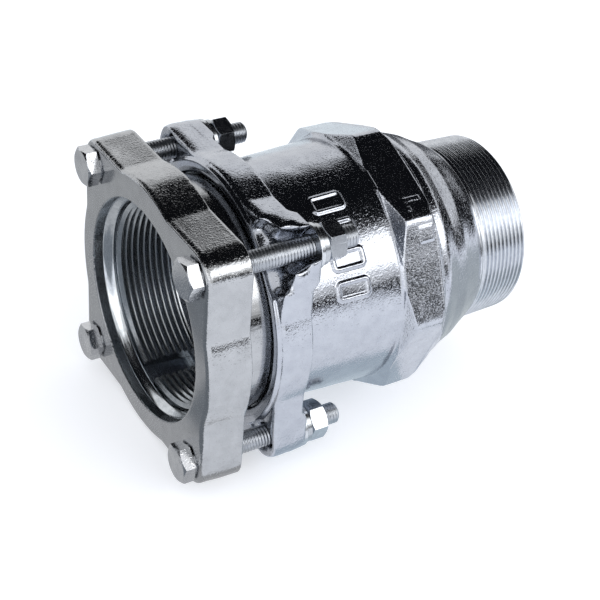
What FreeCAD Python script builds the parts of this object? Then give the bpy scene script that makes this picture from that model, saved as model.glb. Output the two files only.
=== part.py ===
"""Pipe repair union for 88.9 mm steel pipe: a cast body with a male pipe thread, and a cast pressure flange
that four bolts draw onto it, squeezing a split grip ring, a slip ring and a rubber seal round the pipe.
All sizes are in millimetres. X runs along the pipe, from the pressure flange's front to the male thread."""
import FreeCAD, Part
import os
from math import pi, sin, cos, tan, radians, sqrt, atan2

os.makedirs("parts", exist_ok=True)

# Pipe and thread
PIPE_R = 88.9 / 2
THREAD_END_R = 43.3             # crests at the small end of a 3 inch taper pipe thread
THREAD_TAPER = 1 / 32           # growth in radius for each millimetre away from the end
THREAD_LENGTH = 27.6
THREAD_CHAMFER = 1.6
THREAD_PITCH = 25.4 / 11        # 11 threads to the inch
THREAD_DEPTH = 1.4
THREAD_LAND = 0.3               # flat crest between two grooves
THREAD_ROOT = 0.3               # flat bottom of each groove
RUNOUT_GROOVES = 3              # grooves over which the thread runs out in the neck
THREAD_WALL = 3.3               # from the waterway to the crests at the end
WATERWAY_R = THREAD_END_R - THREAD_WALL
BODY_END_X = 180.0

# Bore of the rings and of the body's mouth
SEAL_BORE_R = PIPE_R + 0.45
SEAL_WALL = 9.9                 # of the rubber seal, across the pipe
MOUTH_CLEARANCE = 0.4
MOUTH_LIP = 2.8
COLLAR_WALL = 3.5
SLIP_BORE_R = SEAL_BORE_R + 0.5
PACKING_R = SEAL_BORE_R + SEAL_WALL
MOUTH_R = PACKING_R + MOUTH_CLEARANCE
MOUTH_LIP_R = MOUTH_R + MOUTH_LIP
COLLAR_R = MOUTH_LIP_R + COLLAR_WALL

# Bolts, nuts and washers (M10)
BOLT_R = 4.95
BOLT_TO_COLLAR = 2.0
BOLT_OFFSET = (COLLAR_R + BOLT_TO_COLLAR + BOLT_R) / sqrt(2)    # of each bolt from the axis, in Y and in Z
BOLT_LENGTH = 75.0
BOLT_POINT = 1.0                # bevel on the bolt's end
HEX_FLATS = 16.0
HEAD_HEIGHT = 6.4
NUT_HEIGHT = 8.4
NUT_CLEARANCE = 0.07            # running clearance of a nut on its bolt
BOLT_HOLE_R = BOLT_R + 0.65
WASHER_BORE_R = BOLT_R + 0.35
WASHER_R = 10.0
WASHER_THICK = 2.0
SPRING_R = 9.05
SPRING_THICK = 2.2
SPRING_RISE = 0.95              # how far the free spring washer's ends stand apart
SPRING_TURNS = 0.965
EDGE_BREAK = 0.5                # small bevel on turned edges

# Pressure flange
FLANGE_THICK = 20.4
FLANGE_LUG_R = 12.0
FLANGE_HALF = BOLT_OFFSET + FLANGE_LUG_R
FLANGE_BULGE = 3.8              # each side bulges out beyond its straight ends by this
FLANGE_DRAFT = 0.9              # outline's growth from the front edge to the back one
FLANGE_FRONT_FILLET = 2.4
FLANGE_BACK_FILLET = 0.8
BULGE_BLEND_R = 9.0             # hollow curve between a bulge and the straight side
THROAT_R = PIPE_R + 3.75
THROAT_X = 9.3
ENTRY_R = THROAT_R + 2.9
ENTRY_LENGTH = 6.3
CONE_FRONT_R = THROAT_R + 1.3
CONE_BACK_R = THROAT_R + 4.4
CONE_MOUTH = 0.6                # bevel where the cone meets the neck's end
NECK_R = CONE_BACK_R + 1.9
NECK_FILLET = 3.0

# Split grip ring
RING_X = THROAT_X + 1.1
RING_LENGTH = 26.6
RING_END_X = RING_X + RING_LENGTH
RING_CLEARANCE = 0.3
RING_LEAD_IN = 0.9              # bevel inside the ring's back end
NECK_END_X = RING_END_X - 1.4
CONE_END_X = NECK_END_X - CONE_MOUTH
TOOTH_TIP_R = PIPE_R + 1.35
TOOTH_DEPTH = 1.5
TOOTH_PITCH = 3.07
TOOTH_LAND = 0.3                # flat crest left on each tooth
TOOTH_GULLET = 0.6              # flat between two teeth
TOOTH_STEEP = 1.15              # length of a tooth's steeper flank
TOOTH_COUNT = int((RING_LENGTH - 2.0) / TOOTH_PITCH)
SLIT_WIDTH = 10.4
SLIT_ANGLE = 284.5              # about the pipe, from +Y towards +Z

# Slip ring and seal
SLIP_THICK = 3.0
SLIP_END_X = RING_END_X + SLIP_THICK
SEAL_STRAIGHT = 3.0
SEAL_NOSE = 6.0
SEAL_NOSE_DEPTH = 5.2           # how much the nose narrows
SEAL_LEAD_IN = 1.6
SEAL_EDGE = 0.3
SEAL_TRAVEL = 5.1               # how far the packing moves while the bolts are drawn up

# Body
MOUTH_X = NECK_END_X - 2.1
MOUTH_LEAD_IN = 1.5
COLLAR_EDGE = 0.7
COLLAR_STEP = 2.0               # how far the collar stands in front of the flange
COLLAR_DEPTH = 9.0              # how far it reaches into the flange
BODY_FLANGE_THICK = 15.3
BOSS_HEIGHT = 2.4
BODY_FLANGE_X = MOUTH_X + COLLAR_STEP
BODY_FLANGE_END_X = BODY_FLANGE_X + BODY_FLANGE_THICK
PAD_X = BODY_FLANGE_END_X + BOSS_HEIGHT
BODY_LUG_R = 11.0
BODY_HALF = BOLT_OFFSET + BODY_LUG_R
BODY_BULGE = 3.8
BODY_DRAFT = 0.5
BODY_FILLET = 1.2
ROOT_FILLET = 3.0
SEAT_X = SLIP_END_X + SEAL_STRAIGHT + SEAL_TRAVEL + 0.5
SEAT_END_X = SEAT_X + SEAL_NOSE + 0.2
CHAMBER_BORE_R = MOUTH_R - SEAL_NOSE_DEPTH
CHAMBER_WALL = 5.3
CHAMBER_R = CHAMBER_BORE_R + CHAMBER_WALL
CHAMBER_END_R = CHAMBER_R + 2.1
CHAMBER_END_X = 99.6
PIPE_STOP_X = 117.0
STOP_R = PIPE_R - 2.4
STOP_BEVEL = 3.0                # length of the pipe stop's bevel
STOP_RUN = 12.0                 # from the pipe stop to the waterway's full width
WRENCH_STEP = 2.6
WRENCH_LENGTH = 21.3
WRENCH_FRONT_CUT = 4.4          # lengths over which the corners die away
WRENCH_BACK_CUT = 3.7
WRENCH_FOOT = 2.2
WRENCH_FLAT_R = CHAMBER_END_R + WRENCH_STEP
WRENCH_END_X = CHAMBER_END_X + WRENCH_LENGTH
WRENCH_CORNER_X = (CHAMBER_END_X + WRENCH_FRONT_CUT, WRENCH_END_X - WRENCH_BACK_CUT)
WRENCH_CORNER_FILLET = 1.2
BEAD_STEP = 0.4                 # step down from the chamber's end bead to the wrench section
NECK_LAND = 3.1
NECK_START_X = WRENCH_END_X + NECK_LAND
# The concave neck between the wrench section and the thread, as (share of the way, share of the drop left)
NECK_CURVE = [(0.299, 0.74), (0.546, 0.559), (0.655, 0.425), (0.93, 0.118), (1.0, 0.0)]
RECESS_R = 9.6
RECESS_DEPTH = 2.1
RECESS_X = BODY_FLANGE_X + RECESS_DEPTH
OPEN_RECESS_R = 16.0
OPEN_RECESS_DEPTH = 4.3
OPEN_RECESS_X = BODY_FLANGE_X + OPEN_RECESS_DEPTH
SLOT_STEP_DEPTH = 11.5          # the open lugs' slot is wider in front of this step
SLOT_STEP_X = BODY_FLANGE_X + SLOT_STEP_DEPTH
SLOT_FRONT_GAP = 3.25           # beside the bolt, in front of the step and behind it
SLOT_BACK_GAP = 1.05
SLOT_FRONT_FLARE = 2.0          # growth of the slot's half width over SLOT_REACH
SLOT_BACK_FLARE = 3.6
SLOT_REACH = 20.0
SLOT_FRONT = (BOLT_R + SLOT_FRONT_GAP, BOLT_R + SLOT_FRONT_GAP + SLOT_FRONT_FLARE)
SLOT_BACK = (BOLT_R + SLOT_BACK_GAP, BOLT_R + SLOT_BACK_GAP + SLOT_BACK_FLARE)
BOSS_FOOT_R = 18.5              # raised boss behind each lug
BOSS_TOP_R = 15.6
BOSS_INSET = 0.2                # the bosses' sides stand back from the flange's by this
MOUTH_FILLET = 1.5
BEYOND = 1.0                    # cutters reach past the faces that they cut by this

X_AXIS = FreeCAD.Vector(1, 0, 0)
ORIGIN = FreeCAD.Vector(0, 0, 0)
# Bolt positions as signs of Y and Z, then the turn about the bolt, in degrees, of its head, its nut and its
# spring washer
STATIONS = {
    "a": (1, 1, 54.0, 22.0, 200.0),
    "b": (-1, 1, -9.0, 15.0, 150.0),
    "c": (-1, -1, 42.0, 49.0, 118.0),
    "d": (1, -1, 49.0, 40.0, 60.0),
}
OPEN_LUGS = ("b", "d")


def vec(x, y, z):
    return FreeCAD.Vector(x, y, z)


def revolve(points):
    """A solid turned about X from a closed outline of (x, radius) points. A list among the points is a
    smooth curve through its own points, from the point before it to the last one in the list."""
    edges = []
    last = None
    for item in points + points[:1]:
        if isinstance(item, list):
            through = [last] + [vec(x, r, 0) for x, r in item]
            curve = Part.BSplineCurve()
            curve.interpolate(through)
            edges.append(curve.toShape())
            last = through[-1]
        else:
            here = vec(item[0], item[1], 0)
            if last is not None and here.distanceToPoint(last) > 1e-6:
                edges.append(Part.makeLine(last, here))
            last = here
    return Part.Face(Part.Wire(edges)).revolve(ORIGIN, X_AXIS, 360)


def round_corner(x, r, size, from_deg, to_deg):
    """Points of a quarter arc about (x, r), for a fillet in a turned outline."""
    points = []
    for k in range(7):
        a = radians(from_deg + (to_deg - from_deg) * k / 6)
        points.append((x + size * cos(a), r + size * sin(a)))
    return points


def rod(x0, x1, r, y=0.0, z=0.0):
    """A cylinder along X."""
    return Part.makeCylinder(r, x1 - x0, vec(x0, y, z), X_AXIS)


def lug_centre(station):
    sy, sz = STATIONS[station][:2]
    return sy * BOLT_OFFSET, sz * BOLT_OFFSET


def flange_wire(x, half, lug_r, bulge_r):
    """The flange's outline: a square with round lugs, whose sides bulge to a circle about the pipe. A
    hollow arc joins each end of a bulge to the straight side."""
    blend = BULGE_BLEND_R
    corner = half - lug_r
    diagonal = corner + lug_r / sqrt(2)
    blend_y = half + blend
    blend_z = sqrt((bulge_r + blend) ** 2 - blend_y ** 2)
    bulge_y = blend_y * bulge_r / (bulge_r + blend)
    bulge_z = blend_z * bulge_r / (bulge_r + blend)
    bow_angle = atan2(blend_z, blend_y) / 2 + pi
    bow_y = blend_y + blend * cos(bow_angle)
    bow_z = blend_z + blend * sin(bow_angle)
    edges = []
    for quarter in range(4):
        turn = quarter * pi / 2

        def at(y, z):
            return vec(x, y * cos(turn) - z * sin(turn), y * sin(turn) + z * cos(turn))

        edges.append(Part.Arc(at(bulge_y, -bulge_z), at(bulge_r, 0), at(bulge_y, bulge_z)).toShape())
        edges.append(Part.Arc(at(bulge_y, bulge_z), at(bow_y, bow_z), at(half, blend_z)).toShape())
        edges.append(Part.makeLine(at(half, blend_z), at(half, corner)))
        edges.append(Part.Arc(at(half, corner), at(diagonal, diagonal), at(corner, half)).toShape())
        edges.append(Part.makeLine(at(corner, half), at(blend_z, half)))
        edges.append(Part.Arc(at(blend_z, half), at(bow_z, bow_y), at(bulge_z, bulge_y)).toShape())
    return Part.Wire(edges)


def flange_plate(x0, x1, half, lug_r, bulge, draft, small_first):
    """A cast flange with drafted sides: the outline is smaller by draft at one face."""
    shrink = (draft, 0.0) if small_first else (0.0, draft)
    wires = []
    for x, less in zip((x0, x1), shrink):
        wires.append(flange_wire(x, half - less, lug_r - less, half + bulge - less))
    return Part.makeLoft(wires, True, True)


def edges_at(shape, x, near=0.01):
    """Edges that lie wholly in the plane at x."""
    return [e for e in shape.Edges if abs(e.BoundBox.XMin - x) < near and abs(e.BoundBox.XMax - x) < near]


def outer_edges_at(shape, x, least_r):
    """Edges in the plane at x that stay at least least_r from the pipe's axis."""
    chosen = []
    for edge in edges_at(shape, x):
        points = edge.discretize(5)
        if min(sqrt(p.y ** 2 + p.z ** 2) for p in points) > least_r:
            chosen.append(edge)
    return chosen


def hexagon_prism(x0, x1, flats, y, z, turn_deg, both_ends):
    """A hexagonal bar along X, with its corners topped by the usual 30 degree cone at the front end, or at
    both ends."""
    corner_r = flats / 2 / cos(pi / 6)
    points = []
    for k in range(7):
        a = radians(turn_deg) + k * pi / 3
        points.append(vec(x0, y + corner_r * cos(a), z + corner_r * sin(a)))
    bar = Part.Face(Part.makePolygon(points)).extrude(vec(x1 - x0, 0, 0))
    flat_r = flats / 2 * 0.96
    wide_r = corner_r * 1.065
    drop = (wide_r - flat_r) * tan(radians(30))
    back = [(x1 - drop, wide_r), (x1, flat_r)] if both_ends else [(x1, wide_r)]
    envelope = revolve([(x0, 0), (x0, flat_r), (x0 + drop, wide_r)] + back + [(x1, 0)])
    envelope.translate(vec(0, y, z))
    return bar.common(envelope)


def make_pressure_flange():
    plate = flange_plate(0, FLANGE_THICK, FLANGE_HALF, FLANGE_LUG_R, FLANGE_BULGE, FLANGE_DRAFT, True)
    plate = plate.makeFillet(FLANGE_FRONT_FILLET, outer_edges_at(plate, 0, BOLT_OFFSET))
    plate = plate.makeFillet(FLANGE_BACK_FILLET, outer_edges_at(plate, FLANGE_THICK, BOLT_OFFSET))
    # Each turned outline starts inside the bore, which is cut last.
    core_r = PIPE_R / 2
    inside_x = FLANGE_THICK / 2
    neck = revolve([(inside_x, core_r), (inside_x, NECK_R), (NECK_END_X - EDGE_BREAK, NECK_R),
                    (NECK_END_X, NECK_R - EDGE_BREAK), (NECK_END_X, core_r)])
    shape = plate.fuse(neck).removeSplitter()
    root = [e for e in edges_at(shape, FLANGE_THICK) if abs(e.BoundBox.YMax - NECK_R) < 0.01]
    shape = shape.makeFillet(NECK_FILLET, root)
    # The entry narrows in a long curve to the throat, behind which the grip ring's cone opens backwards.
    entry = []
    for k in range(9):
        a = k / 8 * pi / 2
        entry.append((THROAT_X - ENTRY_LENGTH * cos(a), ENTRY_R - (ENTRY_R - THROAT_R) * sin(a) ** 2))
    mouth_r = CONE_BACK_R + CONE_MOUTH
    bore = [(-BEYOND, 0), (-BEYOND, ENTRY_R)] + entry
    bore += [(THROAT_X, CONE_FRONT_R), (CONE_END_X, CONE_BACK_R), (NECK_END_X, mouth_r),
             (NECK_END_X + BEYOND, mouth_r), (NECK_END_X + BEYOND, 0)]
    shape = shape.cut(revolve(bore))
    for station in STATIONS:
        y, z = lug_centre(station)
        shape = shape.cut(rod(-BEYOND, FLANGE_THICK + BEYOND, BOLT_HOLE_R, y, z))
    return shape


def cone_radius(x):
    """Radius of the pressure flange's inner cone at x."""
    share = (x - THROAT_X) / (CONE_END_X - THROAT_X)
    return CONE_FRONT_R + share * (CONE_BACK_R - CONE_FRONT_R)


def make_grip_ring():
    """The split ring: a cone outside, rows of sharp teeth inside, and one slit along its length."""
    front_r = cone_radius(RING_X) - RING_CLEARANCE
    back_r = cone_radius(RING_END_X) - RING_CLEARANCE
    root_r = TOOTH_TIP_R + TOOTH_DEPTH
    outline = [(RING_X, root_r + 0.4), (RING_X, front_r - EDGE_BREAK), (RING_X + EDGE_BREAK, front_r),
               (RING_END_X - EDGE_BREAK, back_r), (RING_END_X, back_r - EDGE_BREAK),
               (RING_END_X, root_r - 0.4), (RING_END_X - RING_LEAD_IN, TOOTH_TIP_R)]
    for k in range(TOOTH_COUNT):
        edge = RING_END_X - RING_LEAD_IN - TOOTH_LAND - k * TOOTH_PITCH
        outline += [(edge, TOOTH_TIP_R), (edge - TOOTH_STEEP, root_r),
                    (edge - TOOTH_STEEP - TOOTH_GULLET, root_r),
                    (edge - TOOTH_PITCH + TOOTH_LAND, TOOTH_TIP_R)]
    ring = revolve(outline)
    slit = Part.makeBox(RING_LENGTH + 2 * BEYOND, 2 * (back_r - TOOTH_TIP_R), SLIT_WIDTH,
                        vec(RING_X - BEYOND, TOOTH_TIP_R - BEYOND, -SLIT_WIDTH / 2))
    slit.rotate(ORIGIN, X_AXIS, SLIT_ANGLE)
    return ring.cut(slit)


def make_slip_ring():
    return revolve([(RING_END_X, SLIP_BORE_R + EDGE_BREAK), (RING_END_X, PACKING_R - EDGE_BREAK),
                    (RING_END_X + EDGE_BREAK, PACKING_R), (SLIP_END_X, PACKING_R),
                    (SLIP_END_X, SLIP_BORE_R), (RING_END_X + EDGE_BREAK, SLIP_BORE_R)])


def make_seal_ring():
    """The rubber seal: square at the slip ring, with a plain bore and a conical nose for the body's seat."""
    straight_end = SLIP_END_X + SEAL_STRAIGHT
    nose_end = straight_end + SEAL_NOSE
    return revolve([(SLIP_END_X, SEAL_BORE_R + SEAL_EDGE), (SLIP_END_X, PACKING_R - SEAL_EDGE),
                    (SLIP_END_X + SEAL_EDGE, PACKING_R), (straight_end, PACKING_R),
                    (nose_end, PACKING_R - SEAL_NOSE_DEPTH), (nose_end, SEAL_BORE_R + 0.75 * SEAL_LEAD_IN),
                    (nose_end - SEAL_LEAD_IN, SEAL_BORE_R), (SLIP_END_X + SEAL_EDGE, SEAL_BORE_R)])


def slot_cutter(x0, x1, halves, y, z):
    """A slot from a bolt's place outwards, away from the pipe: round at the bolt and wider further out."""
    near, far = halves
    reach = SLOT_REACH
    corners = [vec(x0, 0, -near), vec(x0, reach, -far), vec(x0, reach, far), vec(x0, 0, near),
               vec(x0, 0, -near)]
    cutter = Part.Face(Part.makePolygon(corners)).extrude(vec(x1 - x0, 0, 0))
    cutter = cutter.fuse(rod(x0, x1, near))
    cutter.rotate(ORIGIN, X_AXIS, atan2(z, y) * 180 / pi)
    cutter.translate(vec(0, y, z))
    return cutter


def mouth_edges(plate, x0, x1):
    """The edges along X, from x0 to x1, where the open lugs' slots reach the outside."""
    chosen = []
    for station in OPEN_LUGS:
        y, z = lug_centre(station)
        for edge in plate.Edges:
            box = edge.BoundBox
            out = sqrt((box.Center.y - y) ** 2 + (box.Center.z - z) ** 2)
            spans = abs(box.XMin - x0) < 0.1 and abs(box.XMax - x1) < 0.1
            straight = max(box.YLength, box.ZLength) < BODY_DRAFT + 0.3
            if spans and straight and abs(out - BODY_LUG_R) < BODY_LUG_R / 8:
                chosen.append(edge)
    return chosen


def make_lugged_plate():
    """The body's flange: two lugs have a closed hole in a shallow recess, the others an open slot."""
    plate = flange_plate(BODY_FLANGE_X, BODY_FLANGE_END_X, BODY_HALF, BODY_LUG_R, BODY_BULGE,
                         BODY_DRAFT, False)
    for x in (BODY_FLANGE_X, BODY_FLANGE_END_X):
        plate = plate.makeFillet(BODY_FILLET, outer_edges_at(plate, x, BOLT_OFFSET)).Solids[0]
    back = flange_plate(SLOT_STEP_X, PAD_X, BODY_HALF - BOSS_INSET, BODY_LUG_R - BOSS_INSET, BODY_BULGE,
                        BODY_DRAFT, False)
    slope = (BOSS_FOOT_R - BOSS_TOP_R) / (PAD_X - BODY_FLANGE_END_X)
    for station in STATIONS:
        y, z = lug_centre(station)
        boss = revolve([(SLOT_STEP_X, 0), (SLOT_STEP_X, BOSS_FOOT_R), (BODY_FLANGE_END_X, BOSS_FOOT_R),
                        (PAD_X - EDGE_BREAK, BOSS_TOP_R + EDGE_BREAK * slope),
                        (PAD_X, BOSS_TOP_R - EDGE_BREAK), (PAD_X, 0)])
        boss.translate(vec(0, y, z))
        plate = plate.fuse(back.common(boss))
    for station in STATIONS:
        y, z = lug_centre(station)
        if station in OPEN_LUGS:
            plate = plate.cut(rod(BODY_FLANGE_X - BEYOND, OPEN_RECESS_X, OPEN_RECESS_R, y, z))
            plate = plate.cut(slot_cutter(BODY_FLANGE_X - BEYOND, SLOT_STEP_X, SLOT_FRONT, y, z))
            plate = plate.cut(slot_cutter(BODY_FLANGE_X - BEYOND, PAD_X + BEYOND, SLOT_BACK, y, z))
        else:
            plate = plate.cut(rod(BODY_FLANGE_X - BEYOND, RECESS_X, RECESS_R, y, z))
            plate = plate.cut(rod(BODY_FLANGE_X - BEYOND, PAD_X + BEYOND, BOLT_HOLE_R, y, z))
    plate = plate.makeFillet(MOUTH_FILLET, mouth_edges(plate, OPEN_RECESS_X, SLOT_STEP_X))
    return plate.Solids[0]


def make_wrench_section(core_r):
    """An octagon cut by a cone at each end, so its corners die away."""
    corner_r = WRENCH_FLAT_R / cos(pi / 8)
    front_x, back_x = WRENCH_CORNER_X
    foot_x = WRENCH_END_X + WRENCH_FOOT
    envelope = revolve([(CHAMBER_END_X, core_r), (CHAMBER_END_X, CHAMBER_END_R), (front_x, corner_r),
                        (back_x, corner_r), (WRENCH_END_X, WRENCH_FLAT_R), (foot_x, CHAMBER_END_R - 0.2),
                        (foot_x, core_r)])
    corners = []
    for k in range(9):
        a = k * pi / 4
        corners.append(vec(CHAMBER_END_X - BEYOND, corner_r * cos(a), corner_r * sin(a)))
    octagon = Part.Face(Part.makePolygon(corners)).extrude(vec(foot_x + 2 * BEYOND - CHAMBER_END_X, 0, 0))
    lengthwise = [e for e in octagon.Edges if e.BoundBox.XLength > BEYOND]
    return octagon.makeFillet(WRENCH_CORNER_FILLET, lengthwise).common(envelope)


def thread_outline():
    """Points of the thread's outline from the neck to the end: rings of V grooves stand for the helix, with
    their crests on the taper, and the first ones are shallow, where the die ran out."""
    count = int((THREAD_LENGTH - THREAD_CHAMFER) / THREAD_PITCH)
    half = (THREAD_PITCH - THREAD_LAND) / 2
    points = []
    for k in range(count, 0, -1):
        middle = BODY_END_X - THREAD_CHAMFER - (k - 0.5) * THREAD_PITCH
        depth = THREAD_DEPTH * min(1.0, (count - k + 1) / RUNOUT_GROOVES)
        for shift, drop in ((-half, 0), (-THREAD_ROOT / 2, depth), (THREAD_ROOT / 2, depth), (half, 0)):
            x = middle + shift
            points.append((x, THREAD_END_R + (BODY_END_X - x) * THREAD_TAPER - drop))
    return points


def make_body():
    thread_start_x = BODY_END_X - THREAD_LENGTH
    thread_start_r = THREAD_END_R + THREAD_LENGTH * THREAD_TAPER
    # Each turned outline starts inside the bore, which is cut last.
    core_r = WATERWAY_R / 2
    # The root fillet leaves the flange's back at a small angle, so that the two faces cross cleanly.
    lean = radians(10)
    root_x = BODY_FLANGE_END_X + ROOT_FILLET * cos(lean)
    fillet = round_corner(root_x, CHAMBER_R + ROOT_FILLET, ROOT_FILLET, 190, 270)
    neck_start_r = CHAMBER_END_R - 0.1
    neck_end_r = thread_start_r + 0.44
    neck = []
    for way, drop in NECK_CURVE:
        neck.append((NECK_START_X + way * (thread_start_x - NECK_START_X),
                     neck_end_r + drop * (neck_start_r - neck_end_r)))
    inside_x = BODY_FLANGE_X + 3
    shape = revolve([(inside_x, core_r), (inside_x, fillet[0][1]), fillet[0], fillet[1:],
                     (CHAMBER_END_X, CHAMBER_END_R), (CHAMBER_END_X + 3.5, CHAMBER_END_R - BEAD_STEP),
                     (WRENCH_END_X, CHAMBER_END_R - BEAD_STEP), (NECK_START_X, neck_start_r), neck,
                     (thread_start_x, thread_start_r)] + thread_outline() +
                    [(BODY_END_X - THREAD_CHAMFER, THREAD_END_R),
                     (BODY_END_X, THREAD_END_R - THREAD_CHAMFER), (BODY_END_X, core_r)])
    shape = shape.fuse(make_wrench_section(core_r))
    collar_end = BODY_FLANGE_X + COLLAR_DEPTH
    collar = revolve([(MOUTH_X, core_r), (MOUTH_X, COLLAR_R - COLLAR_EDGE),
                      (MOUTH_X + COLLAR_EDGE, COLLAR_R), (collar_end, COLLAR_R), (collar_end, core_r)])
    shape = collar.fuse(shape).fuse(make_lugged_plate()).removeSplitter()
    bore = [(MOUTH_X - BEYOND, 0), (MOUTH_X - BEYOND, MOUTH_LIP_R), (MOUTH_X, MOUTH_LIP_R),
            (MOUTH_X + MOUTH_LEAD_IN, MOUTH_R), (SEAT_X, MOUTH_R), (SEAT_END_X, CHAMBER_BORE_R),
            (PIPE_STOP_X, CHAMBER_BORE_R), (PIPE_STOP_X + STOP_BEVEL, STOP_R),
            (PIPE_STOP_X + STOP_RUN, WATERWAY_R),
            (BODY_END_X - 1, WATERWAY_R), (BODY_END_X, WATERWAY_R + 1),
            (BODY_END_X + BEYOND, WATERWAY_R + 1), (BODY_END_X + BEYOND, 0)]
    return shape.cut(revolve(bore))


def make_bolt(station):
    y, z = lug_centre(station)
    head = hexagon_prism(-HEAD_HEIGHT, 0, HEX_FLATS, y, z, STATIONS[station][2], False)
    shank = revolve([(-HEAD_HEIGHT / 2, 0), (-HEAD_HEIGHT / 2, BOLT_R), (BOLT_LENGTH - BOLT_POINT, BOLT_R),
                     (BOLT_LENGTH, BOLT_R - BOLT_POINT), (BOLT_LENGTH, 0)])
    shank.translate(vec(0, y, z))
    return head.fuse(shank).removeSplitter()


def make_nut(station):
    y, z = lug_centre(station)
    x0 = PAD_X + WASHER_THICK + SPRING_THICK + SPRING_RISE + 0.03
    x1 = x0 + NUT_HEIGHT
    nut = hexagon_prism(x0, x1, HEX_FLATS, y, z, STATIONS[station][3], True)
    r = BOLT_R + NUT_CLEARANCE
    wide_r = r + EDGE_BREAK + BEYOND
    bore = revolve([(x0 - BEYOND, 0), (x0 - BEYOND, wide_r), (x0 + EDGE_BREAK, r), (x1 - EDGE_BREAK, r),
                    (x1 + BEYOND, wide_r), (x1 + BEYOND, 0)])
    bore.translate(vec(0, y, z))
    return nut.cut(bore)


def make_flat_washer(station):
    y, z = lug_centre(station)
    x1 = PAD_X + WASHER_THICK
    edge = WASHER_THICK / 7
    washer = revolve([(PAD_X, WASHER_BORE_R), (PAD_X, WASHER_R - edge), (PAD_X + edge, WASHER_R),
                      (x1 - edge, WASHER_R), (x1, WASHER_R - edge), (x1, WASHER_BORE_R)])
    washer.translate(vec(0, y, z))
    return washer


def make_spring_washer(station):
    """One open turn of rectangular wire, wound so that its two ends stand apart along the bolt."""
    y, z = lug_centre(station)
    x0 = PAD_X + WASHER_THICK
    middle_r = (WASHER_BORE_R + SPRING_R) / 2
    pitch = SPRING_RISE / SPRING_TURNS
    path = Part.makeHelix(pitch, SPRING_RISE, middle_r)
    inside = vec(WASHER_BORE_R, 0, 0)
    outside = vec(SPRING_R, 0, 0)
    rise = vec(0, 0, SPRING_THICK)
    profile = Part.makePolygon([inside, outside, outside + rise, inside + rise, inside])
    washer = Part.Wire(path.Edges).makePipeShell([profile], True, True)
    washer.rotate(ORIGIN, vec(0, 1, 0), 90)
    washer.rotate(ORIGIN, X_AXIS, STATIONS[station][4])
    washer.translate(vec(x0, y, z))
    return washer


def main():
    parts = {
        "body_casting": make_body(),
        "pressure_flange": make_pressure_flange(),
        "grip_ring": make_grip_ring(),
        "slip_ring": make_slip_ring(),
        "seal_ring": make_seal_ring(),
    }
    for station in STATIONS:
        parts["bolt_" + station] = make_bolt(station)
        parts["nut_" + station] = make_nut(station)
        parts["flat_washer_" + station] = make_flat_washer(station)
        parts["spring_washer_" + station] = make_spring_washer(station)
    for name, shape in parts.items():
        shape.exportStep("parts/" + name + ".step")
        print(name, "valid", shape.isValid(), "solids", len(shape.Solids), "volume", round(shape.Volume))


main()
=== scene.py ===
import bmesh
import bpy
import numpy as np
from mathutils import Matrix


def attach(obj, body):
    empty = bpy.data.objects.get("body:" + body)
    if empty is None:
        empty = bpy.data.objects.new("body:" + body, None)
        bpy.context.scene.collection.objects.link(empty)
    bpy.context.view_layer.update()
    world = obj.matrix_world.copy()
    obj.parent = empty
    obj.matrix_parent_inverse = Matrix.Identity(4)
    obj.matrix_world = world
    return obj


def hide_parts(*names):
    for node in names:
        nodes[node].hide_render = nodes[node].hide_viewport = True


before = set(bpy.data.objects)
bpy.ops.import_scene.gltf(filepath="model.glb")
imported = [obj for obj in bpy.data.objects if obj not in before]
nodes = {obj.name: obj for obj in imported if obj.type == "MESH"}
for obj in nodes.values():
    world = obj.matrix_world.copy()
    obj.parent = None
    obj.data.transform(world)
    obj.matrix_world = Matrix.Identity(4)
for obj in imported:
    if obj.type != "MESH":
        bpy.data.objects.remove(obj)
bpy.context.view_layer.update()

# Body casting: a barrel of malleable iron, cast in sand and zinc plated. The chamber widens slightly towards
# an octagon for the wrench, whose corners die away under two cones, and a hollow neck leads to the thread.
# The mould left raised frames on the chamber and low blocks on the octagon.
MM = 0.001
CHAMBER_START = (50.9, 55.3)
CHAMBER_END = (99.6, 57.4)
BARREL_LINE = [(45.0, 55.3), CHAMBER_START, CHAMBER_END, (103.1, 57.0), (120.9, 57.1), (124.6, 57.3),
               (126.6, 57.0), (128.6, 56.0), (132.5, 54.0), (136.0, 52.9), (139.5, 51.7), (142.6, 50.0),
               (146.5, 48.0), (150.4, 46.1), (152.4, 44.6), (152.5, 43.0)]
OCTAGON_FLAT_R = 60.0
OCTAGON_CORNER_SLOPE = 1.714                 # rise of the flat cuts at the front corners
OCTAGON_BACK = [(117.2, 64.94), (120.9, 60.0), (121.9, 57.2), (123.0, 50.0)]
WATERWAY_R = 40.0
PIPE_STOP = [(116.8, 50.0), (117.1, 49.75), (119.9, 42.3), (120.2, 42.0), (128.8, 40.05),
             (129.2, WATERWAY_R)]
HIDDEN_R = 40.0                              # of the octagon where it is to stay under the barrel
OCTAGON_CORNER_R = 64.5
BEAD_MIDDLES = (CHAMBER_END[0] - 0.2, 118.9)
BEAD_WIDTH = 0.55
BEAD_HEIGHT = 0.32
FRAME_ANGLES = (64.0, 50.5, 37.0, 23.5)      # degrees about the pipe from -Y towards +Z
FRAME_MIDDLE_X = 75.5
FRAME_SIZE = (14.4, 7.2)                     # of the frame's middle line, along the pipe and round it
FRAME_LINE = 2.1
FRAME_CORNER = 1.5
FRAME_HEIGHT = 0.85
FRAME_R = 56.5                               # at which a frame's size round the pipe is measured
BLOCKS = [(111.8, 54.0, 9.0, 2.2), (108.0, 49.8, 2.4, 2.2), (113.5, 38.5, 7.0, 6.6)]
BLOCK_HEIGHT = 0.45
BLOCK_R = 61
BLOCK_EDGE = 0.8


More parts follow.
